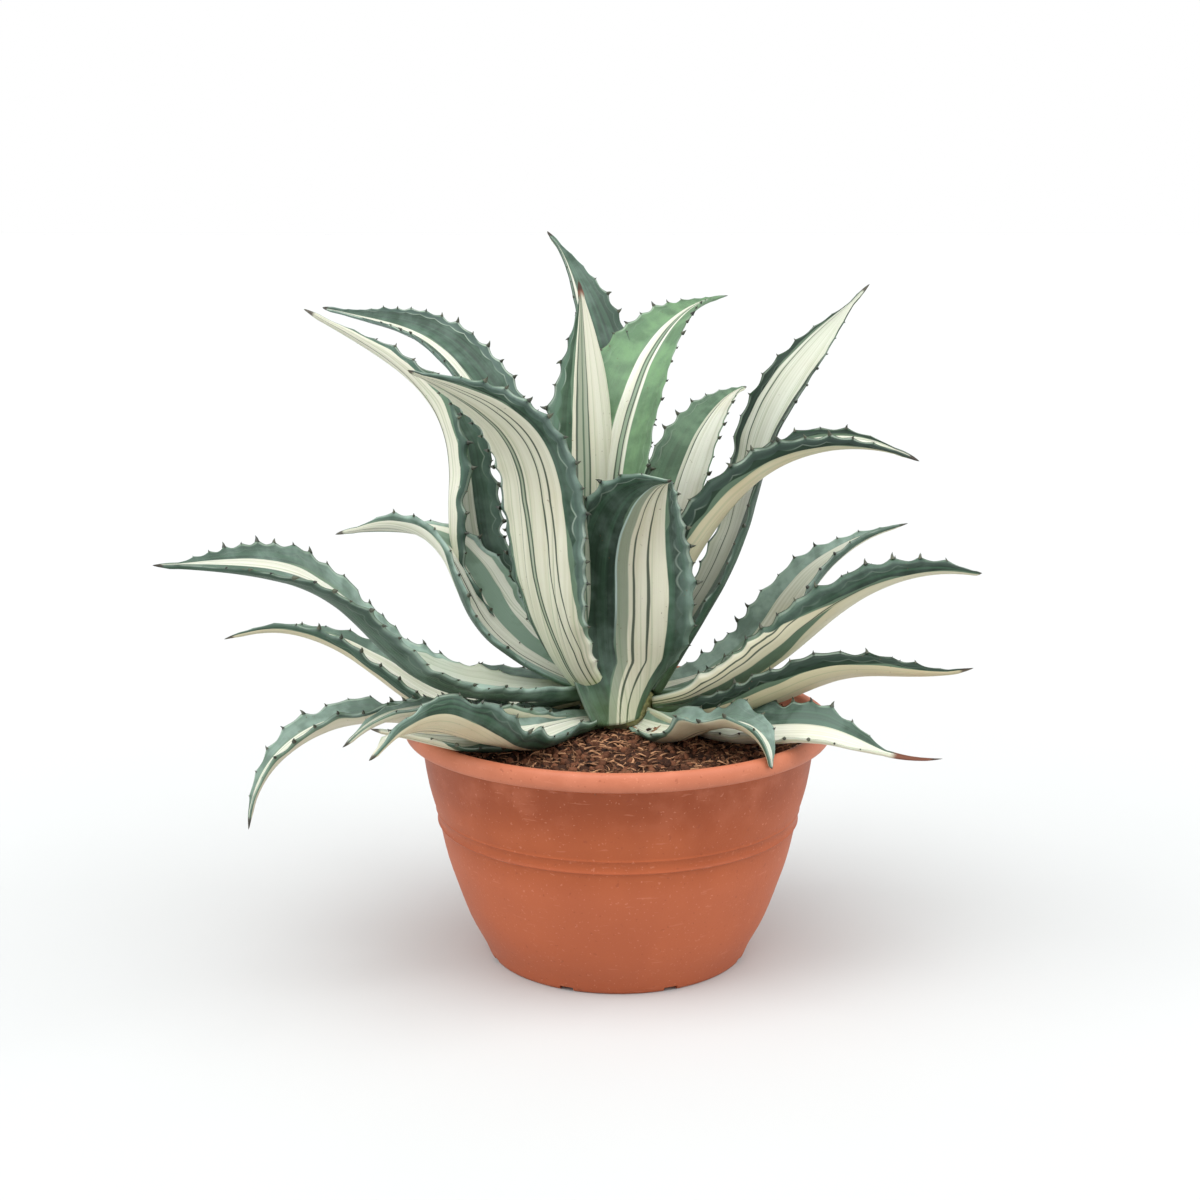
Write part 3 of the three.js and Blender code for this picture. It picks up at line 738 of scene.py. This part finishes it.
def seat_teeth(row, points, chance):
    """Notes for each tooth its foot, the way it points, the way it bends, and its size."""
    for i in range(row.steps):
        at = i * STATIONS + STATIONS // 2
        for side, column in ((-1, 0), (1, len(UPPER) - 1)):
            if row.sizes[side][i] > 0 and at < row.count:
                rim = row.angle[at]
                out = side * row.across[at] * math.cos(rim) + row.up[at] * math.sin(rim)
                foot = points[at * SIDES + column] - row.up[at] * 0.5 * row.thin[at] * MM
                bend = row.along[at] * chance.uniform(-0.5, 1.0)
                grown = np.interp(row.s[at], (0.1, 0.4), (0.5, 1.0))
                teeth.append((foot, out, bend, row.sizes[side][i] * row.slim[at] * grown))


def make_leaf(name, growth, seed):
    chance = np.random.default_rng(100 + seed)
    row = stations(growth, chance)
    points = blade_points(name, growth, row, chance)
    leaf = new_piece(f"leaf_{name}_blade", points, blade_faces(row.count), LEAF_FINISH)
    carry_markings(leaf, name, growth, seed, row)
    seat_teeth(row, points, chance)
    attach(leaf, "root")
    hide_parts("leaf_" + name)
    return leaf


leaves = [make_leaf(name, growth, i) for i, (name, growth) in enumerate(LEAVES.items())]
print("leaf triangles:", sum(map(triangles, leaves)), "in", len(leaves), "leaves;", len(teeth), "teeth")

# %% [markdown]
# The teeth are small hooked horns of hard dark tissue, one on every cusp. More than seven
# hundred of them share one shape, so Geometry Nodes sets a bent cone on each of the noted
# points, turned as that point says. These helpers write such a tree, with its sizes as
# named inputs, and run it on a carrier.

# %% Helpers for Geometry Nodes
def new_tree(name, **kinds):
    """A Geometry Nodes tree with named inputs, what it is given, and its end."""
    tree = bpy.data.node_groups.new(name, "GeometryNodeTree")
    tree.interface.new_socket("Geometry", in_out="INPUT", socket_type="NodeSocketGeometry")
    for key, kind in kinds.items():
        socket = "NodeSocketInt" if kind is int else "NodeSocketFloat"
        tree.interface.new_socket(key, in_out="INPUT", socket_type=socket)
    tree.interface.new_socket("Geometry", in_out="OUTPUT", socket_type="NodeSocketGeometry")
    given = {output.name: Term(tree, output) for output in tree.nodes.new("NodeGroupInput").outputs}
    return tree, given, tree.nodes.new("NodeGroupOutput")


def end_tree(end, instances, finish):
    real = add(instances.tree, "GeometryNodeRealizeInstances", {"Geometry": instances})
    painted = add(real.tree, "GeometryNodeSetMaterial", {"Geometry": real, "Material": finish})
    feed(end.inputs[0], add(real.tree, "GeometryNodeSetShadeSmooth", {"Geometry": painted}))


def settle(piece, name):
    """Applies what the modifiers make of a piece, as a plain mesh under a new name."""
    result = piece.evaluated_get(bpy.context.evaluated_depsgraph_get())
    mesh = bpy.data.meshes.new_from_object(result)
    mesh.name = name
    made = bpy.data.objects.new(name, mesh)
    bpy.context.scene.collection.objects.link(made)
    return made


def grow_on(carrier, tree, name, **sizes):
    """Runs a tree on a carrier and keeps the result as a plain mesh of its own."""
    modifier = carrier.modifiers.new(tree.name, "NODES")
    modifier.node_group = tree
    for item in tree.interface.items_tree:
        if item.in_out == "INPUT" and item.name in sizes:
            modifier[item.identifier] = sizes[item.name]
    made = settle(carrier, name)
    carrier.modifiers.remove(modifier)
    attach(made, "root")
    return made


def bent(start, middle, end, steps):
    """A curve that leaves start towards middle and comes to rest at end."""
    inputs = {"Resolution": steps, "Start": start, "Middle": middle, "End": end}
    return add(start.tree, "GeometryNodeCurveQuadraticBezier", inputs)


def horn(curve, thickness, sides):
    """A tube along a curve that narrows steadily to its end."""
    ring = add(curve.tree, "GeometryNodeCurvePrimitiveCircle", {"Resolution": sides, "Radius": 1.0})
    taper = (1.04 - add(curve.tree, "GeometryNodeSplineParameter", output="Factor")) * thickness
    inputs = {"Curve": curve, "Profile Curve": ring, "Scale": taper, "Fill Caps": True}
    return add(curve.tree, "GeometryNodeCurveToMesh", inputs)


print("teeth to grow:", len(teeth))

# %% [markdown]
# A tooth is dark grey-brown and a little shiny, and its tone varies. It is a horn some
# 3 mm high that stands out from the margin and bends over along it.

# %% Teeth
def tooth_finish():
    material, tree, shader = new_finish("horny_tooth")
    tone = rise(cloud(place_on(tree), 160.0), 0.3, 0.7)
    feed(shader.inputs["Base Color"], tint(tone, rgb(34, 40, 32), rgb(80, 84, 66)))
    feed(shader.inputs["Roughness"], tone * 0.2 + 0.35)
    return material


def tooth_tree(finish):
    tree, given, end = new_tree("hooked_teeth", Height=float, Thickness=float)
    height = given["Height"]
    curve = bent(point(0.0, 0.0, height * -0.35), point(0.0, 0.0, height * 0.55),
                 point(height * 0.4, 0.0, height), 4)
    carried = {"aim": "FLOAT_VECTOR", "bend": "FLOAT_VECTOR", "size": "FLOAT"}
    aim, bend, size = (add(tree, "GeometryNodeInputNamedAttribute", {"Name": name}, data_type=kind)
                       for name, kind in carried.items())
    facing = add(tree, "FunctionNodeAxesToRotation", {"Primary Axis": aim, "Secondary Axis": bend},
                 primary_axis="Z", secondary_axis="X")
    spread = add(tree, "GeometryNodeInstanceOnPoints", {
        "Points": given["Geometry"], "Instance": horn(curve, given["Thickness"], 6),
        "Rotation": facing, "Scale": size})
    end_tree(end, spread, finish)
    return tree


TOOTH_FINISH = tooth_finish()
feet, aims, bends, sizes = zip(*teeth)
seats = new_piece("tooth_seats", feet, [], TOOTH_FINISH)
for name, values in (("aim", aims), ("bend", bends), ("size", sizes)):
    carry(seats, name, values)
teeth_piece = grow_on(seats, tooth_tree(TOOTH_FINISH), "leaf_teeth", Height=0.0027, Thickness=0.0014)
bpy.data.objects.remove(seats)
print("tooth triangles:", triangles(teeth_piece))

# %% [markdown]
# The pot is plastic in the colour of terracotta, moulded with a faint swirl. Its lower
# part is paler with painted light bounced up from the floor, its lip is paler with a
# painted highlight, and its collar is darker with painted shade under the lip. Dust,
# specks, pits and scuffs lie on it. Each is a soft step on height or noise, laid on too
# thinly to stand out.

# %% Pot finish
def pot_finish():
    material, tree, shader = new_finish("terracotta_plastic", Specular_IOR_Level=0.3)
    place = place_on(tree)
    height = axes(place)[2]
    mottle = rise(cloud(place, 14.0, 4.0), 0.3, 0.7)
    swirl = cloud(stretched(place, 18.0, 18.0, 5.0), 1.0, 3.0)
    dust = rise(height, 0.105, 0.16) * rise(cloud(place, 55.0, 4.0), 0.4, 0.75)
    scuffs = cloud(stretched(place, 60.0, 60.0, 420.0), 1.0, 3.0)
    colour = layered(
        tint(mottle, rgb(160, 78, 41), rgb(172, 88, 50)),
        (rise(swirl, 0.5, 0.72) * 0.28, rgb(142, 64, 33)),
        # paler lower part: painted light bounced up from the floor
        (rise(height, 0.100, 0.076) * 0.28, rgb(198, 112, 80)),  # lower part
        # darker collar: painted shade under the overhanging lip
        (strip(height, 0.128, 0.157, 0.014) * 0.6, rgb(138, 64, 32)),  # collar
        (dust * 0.3, rgb(204, 124, 94)),
        # paler lip: a painted highlight on its top
        (rise(height, 0.157, 0.161) * 0.4, rgb(214, 140, 112)),  # lip
        (rise(cloud(place, 520.0, 1.0), 0.68, 0.74) * 0.35, rgb(210, 140, 112)),  # specks
        (rise(cloud(place, 300.0, 1.0), 0.30, 0.25) * 0.35, rgb(136, 64, 40)),  # pits
        (rise(scuffs, 0.66, 0.72) * 0.25, rgb(206, 132, 104)))
    feed(shader.inputs["Base Color"], colour)
    feed(shader.inputs["Roughness"], mottle * 0.10 + 0.46)
    raise_relief(shader, cloud(place, 650.0, 2.0) * 0.3 + cloud(place, 28.0, 3.0), 0.0012, 0.35)
    return material


POT_FINISH = pot_finish()
print("pot finish:", len(POT_FINISH.node_tree.nodes), "nodes")

# %% [markdown]
# The bowl pot is moulded in one piece. A turned outline gives it, as a lathe would: a
# rounded rim, a collar, two raised lines round its middle and a foot ring. The notches
# and holes for water are cut with a Boolean, as all the rest of it is round.

# %% Pot
def turned(outline, sides):
    """Points and faces of an outline of (radius, height) in mm, turned about +Z."""
    outline = np.asarray(outline, dtype=float) * MM
    turn = np.arange(sides) * 2 * math.pi / sides
    ring = np.stack([np.cos(turn), np.sin(turn)], axis=1)
    points, faces = [(0, 0, outline[0][1])], []
    for radius, height in outline[1:-1]:
        points.extend((radius * x, radius * y, height) for x, y in ring)
    points.append((0, 0, outline[-1][1]))
    rows = len(outline) - 2
    for j in range(sides):
        k = (j + 1) % sides
        faces.append((0, 1 + k, 1 + j))
        for i in range(rows - 1):
            a, b = 1 + i * sides, 1 + (i + 1) * sides
            faces.append((a + j, a + k, b + k, b + j))
        last = 1 + (rows - 1) * sides
        faces.append((last + j, last + k, len(points) - 1))
    return points, faces


# The pot's outline, up its outside and down its inside
FOOT = [(0, 0.3), (84, 0.3), (86, 0), (90.6, 0), (91.8, 0.4), (92.6, 1.5)]
BELLY = [
    (93.6, 4), (94.8, 7), (96.6, 11), (99.8, 17), (103.5, 24), (107, 31.5), (110.2, 40), (113, 48),
    (116, 57), (118.7, 65), (121, 72.6), (122.8, 80), (124.3, 87), (125.4, 92.5), (126.0, 96.4)]
LOWER_LINE = [(126.3, 97.2), (127.4, 97.8), (127.9, 98.6), (127.4, 99.4), (126.9, 100.2), (127.2, 102.5)]
UPPER_LINE = [(127.8, 105.6), (128.5, 106.3), (129.0, 107.1), (128.7, 107.9), (128.9, 109)]
COLLAR = [
    (130.2, 113), (131.9, 119), (133.6, 126), (135.2, 135), (136.8, 146), (138.2, 156), (138.9, 158.1),
    (140, 159)]
RIM = [
    (146.6, 159.2), (148.2, 159.8), (149.3, 161.2), (149.9, 163), (150, 165), (149.7, 167.2),
    (149.0, 169.3), (147.8, 171.0), (146.2, 171.9), (144.4, 172), (142.8, 171.3), (141.6, 170.1),
    (141, 168.6)]
INSIDE = [
    (139.8, 165), (137.9, 161.2), (136.2, 158.6), (135.4, 156), (131, 124), (123.2, 98), (118, 72),
    (110, 48), (100.5, 24), (92, 7), (89, 4), (0, 4)]
POT_SIDES = 240
NOTCHES = 8                 # and as many drain holes, one at the inner end of each
NOTCH = (72, 103, 5, -3, 3)     # radii from and to, half the width, heights from and to
DRAIN_HOLE = (73.5, 82.5, 4.5, -3, 9)
BOX_FACES = [(0, 3, 2, 1), (4, 5, 6, 7), (0, 1, 5, 4), (1, 2, 6, 5), (2, 3, 7, 6), (3, 0, 4, 7)]


def ring_of_boxes(name, near, far, half, low, high):
    """One mesh of equal boxes round the axis, to cut with."""
    corners, faces = [], []
    for i in range(NOTCHES):
        turn = math.radians((i + 0.5) * 360 / NOTCHES)
        ahead = Vector((math.cos(turn), math.sin(turn), 0))
        side = Vector((-math.sin(turn), math.cos(turn), 0))
        corners += [(ahead * r + side * w + Vector((0, 0, z))) * MM for z in (low, high)
                    for r, w in ((near, -half), (far, -half), (far, half), (near, half))]
        faces += [tuple(8 * i + v for v in face) for face in BOX_FACES]
    return new_piece(name, corners, faces, POT_FINISH)


outline = FOOT + BELLY + LOWER_LINE + UPPER_LINE + COLLAR + RIM + INSIDE
pot = new_piece("pot_raw", *turned(outline, POT_SIDES), POT_FINISH)
cutters = [ring_of_boxes("cutter_0", *NOTCH), ring_of_boxes("cutter_1", *DRAIN_HOLE)]
for cutter in cutters:
    cut = pot.modifiers.new(cutter.name, "BOOLEAN")
    cut.object, cut.operation, cut.solver = cutter, "DIFFERENCE", "EXACT"
    cutter.hide_render = True
bowl = settle(pot, "bowl_pot")
bowl.data.set_sharp_from_angle(angle=math.radians(40))
for piece in (pot, *cutters):
    bpy.data.objects.remove(piece)
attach(bowl, "root")
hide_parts("pot")
print("pot triangles:", triangles(bowl))

# %% [markdown]
# The growing mix is coarse coir and peat. Its bed is a disc of rings raised by noise at
# three scales, closed below so that it stays a solid. Real points are moved, and not
# only shaded, because the bed is seen from close by at the rim.

# %% Soil bed
RINGS, SPOKES = 60, 200
BED_RADIUS, BED_HEIGHT, MOUND = 136.4, 161, 7       # mm
BED_BELOW = [(0, 4.4), (88.5, 4.4), (91.5, 7), (100, 24), (109.6, 48), (117.6, 72), (122.8, 98),
             (130.6, 124), (135.0, 156)]
ROUGHNESS = ((2.2, 70, 3), (1.6, 190, 7), (0.9, 460, 11))   # height in mm, fineness, start


def mix_finish(name, dark, light, scale):
    material, tree, shader = new_finish(name, Specular_IOR_Level=0.2)
    place = place_on(tree)
    tone = cloud(place, scale, 3.0) * 0.5 + reading(tree, "shade") * 0.6
    feed(shader.inputs["Base Color"], tint(rise(tone, 0.15, 0.85), dark, light))
    feed(shader.inputs["Roughness"], tone * 0.2 + 0.75)
    raise_relief(shader, cloud(place, scale * 3, 3.0), 0.0008, 0.8)
    return material


def roughen(bed):
    """Raises the top of the bed by broad lumps, and by noise that fades out at the wall."""
    for vertex in bed.data.vertices:
        x, y, z = vertex.co
        if z > (BED_HEIGHT - 0.5) * MM:
            fade = min(1, (BED_RADIUS * MM - math.hypot(x, y)) / 0.006)
            lump = 1.4 * (math.sin(x * 130 + 1) * math.cos(y * 110) + 0.6 * math.sin(x * 70 - y * 160))
            rough = sum(high * noise.noise((x * fine, y * fine, start)) for high, fine, start in ROUGHNESS)
            vertex.co.z = z + (lump * 0.7 + rough * fade) * MM
    bed.data.update()


BED_FINISH = mix_finish("damp_peat", rgb(24, 15, 12), rgb(78, 50, 36), 260.0)
top = [(BED_RADIUS * share, BED_HEIGHT + MOUND * (1 - share**2)) for share in np.linspace(1, 0, RINGS)]
bed = new_piece("soil_bed", *turned(BED_BELOW + top, SPOKES), BED_FINISH)
roughen(bed)
carry(bed, "shade", [0.5] * len(bed.data.vertices))
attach(bed, "root")
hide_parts("soil")
print("soil bed triangles:", triangles(bed))

# %% [markdown]
# The coir is short bent strands, and the peat is crumbs of every size. Geometry Nodes
# scatters them over the bed, because there are thousands, alike but for their turn, size
# and shade. A few faces are enough for each, as they are only seen together.

# %% Coir strands and peat crumbs
STRAND_BENDS = ((0.25, 0.06), (-0.35, 0.12), (0.1, -0.08), (-0.15, 0.16), (0.5, 0.02))


def drawn(seed, shift, low, high):
    """A number between low and high, drawn for each instance."""
    inputs = {"Min": low, "Max": high, "Seed": seed + float(shift)}
    return add(seed.tree, "FunctionNodeRandomValue", inputs, 1, data_type="FLOAT")


def top_of_bed(tree):
    """1 on the faces of the bed that look up, near the rim of the pot."""
    upward = axes(add(tree, "GeometryNodeInputNormal"))[2]
    height = axes(add(tree, "GeometryNodeInputPosition"))[2]
    return upward.calc("GREATER_THAN", 0.3) * height.calc("GREATER_THAN", 0.15)


def scatter(given, end, instance, pick, tilt, finish):
    """Scatters an instance over the bed's top, turned and sized by chance, and shades each."""
    tree, seed = instance.tree, given["Seed"]
    points = add(tree, "GeometryNodeDistributePointsOnFaces", {
        "Mesh": given["Geometry"], "Selection": top_of_bed(tree), "Density": given["Density"], "Seed": seed})
    limits = {0: (-tilt, -tilt, 0), 1: (tilt, tilt, 6.283), "Seed": seed}
    turn = add(tree, "FunctionNodeRandomValue", limits, data_type="FLOAT_VECTOR")
    facing = add(tree, "FunctionNodeEulerToRotation", {"Euler": turn})
    laid = add(tree, "GeometryNodeInstanceOnPoints", {
        "Points": points, "Instance": instance, "Rotation": facing, "Pick Instance": pick,
        "Scale": drawn(seed, 2, 0.3, 1.6)})
    shaded = add(tree, "GeometryNodeStoreNamedAttribute", {
        "Geometry": laid, "Name": "shade", "Value": drawn(seed, 5, 0.0, 1.0)}, domain="INSTANCE")
    end_tree(end, shaded, finish)


STRAND_FINISH = mix_finish("coir_strand", rgb(66, 38, 26), rgb(200, 150, 112), 300.0)
tree, given, end = new_tree("coir_strands", Density=float, Length=float, Thickness=float, Seed=int)
shapes, reach = add(tree, "GeometryNodeJoinGeometry"), given["Length"]
for bow, droop in STRAND_BENDS:
    curve = bent(point(reach * -0.5, 0.0, 0.0), point(0.0, reach * bow, reach * (0.12 + droop)),
                 point(reach * 0.5, 0.0, reach * droop), 5)
    strand = add(tree, "GeometryNodeGeometryToInstance", {"Geometry": horn(curve, given["Thickness"], 3)})
    feed(shapes.socket.node.inputs[0], strand)
scatter(given, end, shapes, True, 0.35, STRAND_FINISH)
strands = grow_on(bed, tree, "coir_strands", Density=60000.0, Length=0.0075, Thickness=0.0007, Seed=4)

CRUMB_FINISH = mix_finish("peat_crumb", rgb(22, 13, 10), rgb(118, 76, 54), 400.0)
tree, given, end = new_tree("peat_crumbs", Density=float, Size=float, Seed=int)
ball = add(tree, "GeometryNodeMeshIcoSphere", {"Radius": given["Size"], "Subdivisions": 1})
dents = add(tree, "ShaderNodeTexNoise", {"Scale": 500.0}, output=1)
dented = {0: dents, 1: (0.003, 0.002, 0.002), 2: (-0.0015, -0.001, -0.0012)}
offset = add(tree, "ShaderNodeVectorMath", dented, operation="MULTIPLY_ADD")
crumb = add(tree, "GeometryNodeSetPosition", {"Geometry": ball, "Offset": offset})
scatter(given, end, crumb, False, 1.2, CRUMB_FINISH)
crumbs = grow_on(bed, tree, "peat_crumbs", Density=45000.0, Size=0.0021, Seed=9)
print("strand triangles:", triangles(strands), "crumb triangles:", triangles(crumbs))

# %% [markdown]
# The stem is almost hidden. It is short and thick, and ringed by the scars of leaves
# that have dried away, so a turned outline with shallow rings is enough. Its olive-brown
# is kept darker than its own, as painted shade under the leaves.

# %% Stem
STEM_SHAPE = [(18, 140), (27, 156), (28, 172), (25, 186), (18, 198), (10, 207), (4, 212)]
STEM_FINISH, tree, shader = new_finish("scarred_stem", Roughness=0.7)
place = place_on(tree)
patches = rise(cloud(place, 120.0, 4.0), 0.35, 0.7)
# dark olive-brown: the stem's colour, darkened as painted shade under the leaves
feed(shader.inputs["Base Color"], tint(patches, rgb(96, 92, 58), rgb(150, 150, 96)))
raise_relief(shader, cloud(place, 500.0, 3.0), 0.001, 0.6)
widths, levels = zip(*STEM_SHAPE)
heights = np.linspace(140.3, 212, 60)
radii = np.interp(heights, levels, widths) - 0.6 + 0.5 * np.sin(heights * 1.6)
stem = new_piece("scarred_stem", *turned([(0, 140), *zip(radii, heights), (0, 213)], 64), STEM_FINISH)
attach(stem, "root")
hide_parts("stem")
print("stem triangles:", triangles(stem))
